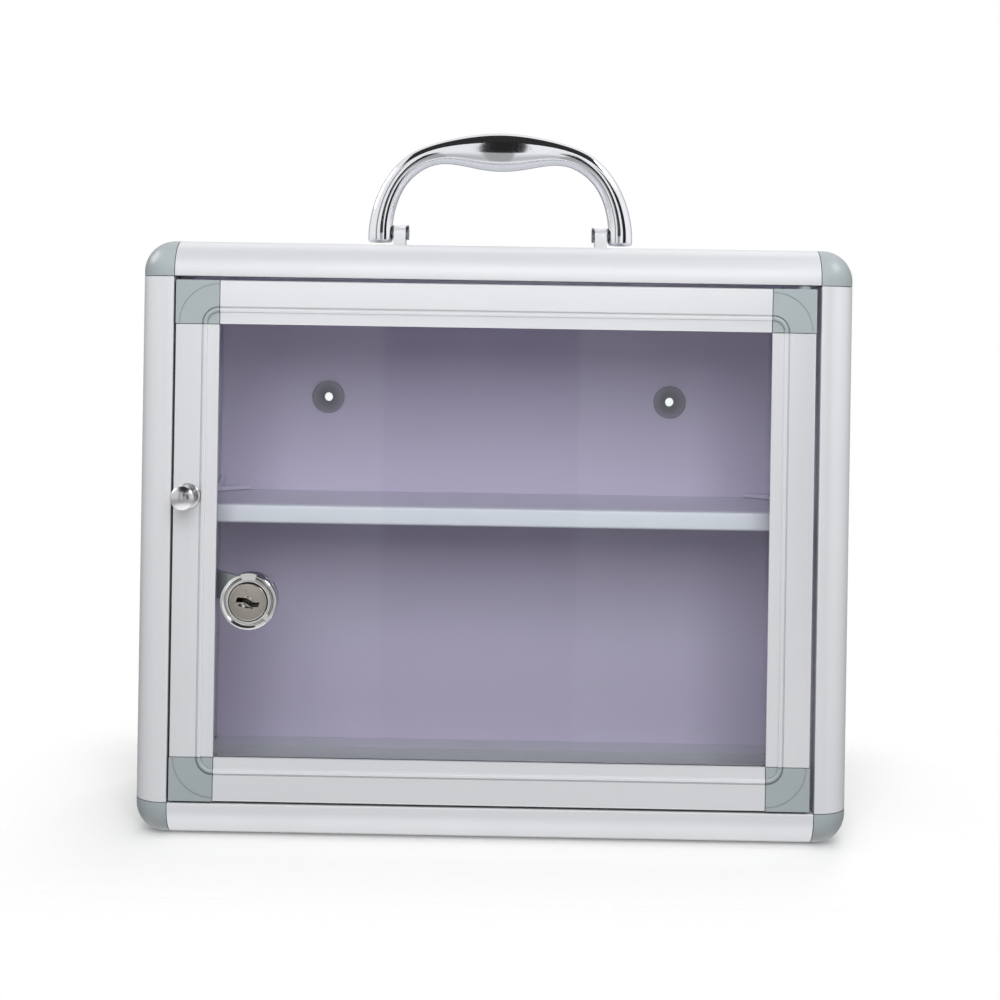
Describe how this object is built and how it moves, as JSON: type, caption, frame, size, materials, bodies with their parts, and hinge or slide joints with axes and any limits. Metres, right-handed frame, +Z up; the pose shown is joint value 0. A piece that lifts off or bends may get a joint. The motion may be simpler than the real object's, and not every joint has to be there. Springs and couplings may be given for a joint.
{
  "type": "medication lock box",
  "caption": "Glazed aluminium cabinet for medicines with a hinged glass door, cam lock, pull knob, inner shelf and folding bail handle.",
  "frame": {"origin": "under the middle of the whole object's box, knob included, on the plane it stands on", "axes": "+Z up, -Y towards the door's front, +X to the hinge side"},
  "size_m": [0.3, 0.1344, 0.304],
  "materials": {
    "aluminium": "satin anodised extrusion",
    "corner_plastic": "grey-green moulded plastic",
    "laminate": "lilac-grey panel",
    "shelf_trim": "light grey edge trim",
    "dark_plastic": "dark grey moulded plastic",
    "rubber": "black glazing rubber",
    "chrome": "polished chrome plate",
    "nickel": "nickel plated plug",
    "steel": "zinc plated steel",
    "glass": "clear float glass"
  },
  "bodies": {
    "cabinet": {"ball_corner_front_bottom_left": "corner_plastic", "ball_corner_front_bottom_right": "corner_plastic", "ball_corner_front_top_left": "corner_plastic", "ball_corner_front_top_right": "corner_plastic", "ball_corner_rear_bottom_left": "corner_plastic", "ball_corner_rear_bottom_right": "corner_plastic", "ball_corner_rear_top_left": "corner_plastic", "ball_corner_rear_top_right": "corner_plastic", "door_stop": "corner_plastic", "edge_strip_bottom_left": "aluminium", "edge_strip_bottom_right": "aluminium", "edge_strip_top_left": "aluminium", "edge_strip_top_right": "aluminium", "frame_front_bottom": "aluminium", "frame_front_left": "aluminium", "frame_front_right": "aluminium", "frame_front_top": "aluminium", "frame_rear_bottom": "aluminium", "frame_rear_left": "aluminium", "frame_rear_right": "aluminium", "frame_rear_top": "aluminium", "handle_bracket_left": "steel", "handle_bracket_right": "steel", "handle_pin_left": "steel", "handle_pin_right": "steel", "hanging_eyelet_left": "dark_plastic", "hanging_eyelet_right": "dark_plastic", "panel_back": "laminate", "panel_bottom": "laminate", "panel_left": "laminate", "panel_right": "laminate", "panel_top": "laminate", "shelf_board": "laminate", "shelf_gusset_left": "steel", "shelf_gusset_right": "steel", "shelf_ledge_left": "aluminium", "shelf_ledge_right": "aluminium", "shelf_trim": "shelf_trim", "strike_plate": "steel"},
    "door": {"door_corner_bottom_left": "corner_plastic", "door_corner_bottom_right": "corner_plastic", "door_corner_top_left": "corner_plastic", "door_corner_top_right": "corner_plastic", "door_rail_bottom": "aluminium", "door_rail_top": "aluminium", "door_stile_left": "aluminium", "door_stile_right": "aluminium", "glass_gasket": "rubber", "glass_pane": "glass", "hinge_pin_bottom": "steel", "hinge_pin_top": "steel", "knob_rosette": "chrome", "lock_housing": "chrome", "lock_nut": "steel", "pull_knob": "chrome"},
    "lock": {"cam_screw": "steel", "lock_cam": "steel", "lock_plug": "nickel"},
    "handle": {"handle_bail": "chrome"}
  },
  "joints": [
    {"name": "door_hinge", "type": "hinge", "parent": "cabinet", "child": "door", "pos_m": [0.1284, -0.04835, 0.125], "axis": [0, 0, 1], "range_deg": [0, 105]},
    {"name": "key_turn", "type": "hinge", "parent": "door", "child": "lock", "pos_m": [-0.102, -0.04, 0.0994], "axis": [0, 1, 0], "range_deg": [-52, 38]},
    {"name": "handle_fold", "type": "hinge", "parent": "cabinet", "child": "handle", "pos_m": [0, 0.00725, 0.2583], "axis": [1, 0, 0], "range_deg": [-88, 88]}
  ]
}
